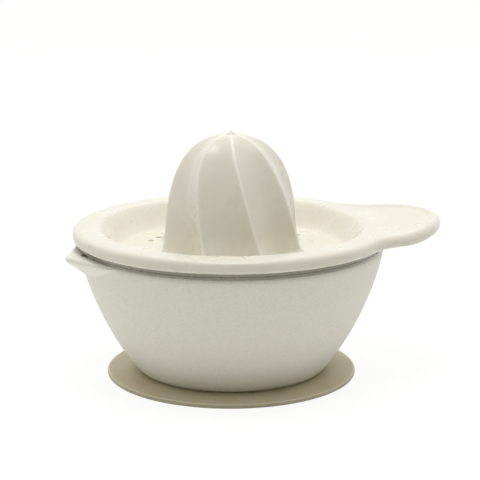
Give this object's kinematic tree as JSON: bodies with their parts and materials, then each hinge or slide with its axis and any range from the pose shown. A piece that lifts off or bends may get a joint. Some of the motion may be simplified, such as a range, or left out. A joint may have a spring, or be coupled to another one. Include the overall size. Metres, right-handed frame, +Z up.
{
  "type": "citrus juicer",
  "caption": "Citrus juicer: fluted cone on a strainer plate with a handle, over a pouring bowl held by a suction base.",
  "frame": {"origin": "on the bowl's axis, in the plane that the suction base stands on", "axes": "+Z up along the axis of the bowl and the cone, -X towards the spout, so the handle lies near +X at rest"},
  "size_m": [0.1494, 0.122, 0.0953],
  "materials": {
    "base_silicone": "matt",
    "bowl_plastic": "matt, finely speckled",
    "ring_silicone": "satin",
    "plate_plastic": "satin"
  },
  "bodies": {
    "base": {"suction_base": "base_silicone"},
    "bowl": {"bowl": "bowl_plastic"},
    "ring": {"seal_ring": "ring_silicone"},
    "plate": {"reamer_plate": "plate_plastic"}
  },
  "joints": [
    {"name": "bowl_pull_off", "type": "slide", "parent": "base", "child": "bowl", "axis": [0, 0, 1], "range_m": [0, 0.03]},
    {"name": "plate_lift", "type": "slide", "parent": "bowl", "child": "ring", "axis": [0, 0, 1], "range_m": [0, 0.06]},
    {"name": "plate_turn", "type": "hinge", "parent": "ring", "child": "plate", "pos_m": [0, 0, 0.0535], "axis": [0, 0, 1], "continuous": true}
  ]
}
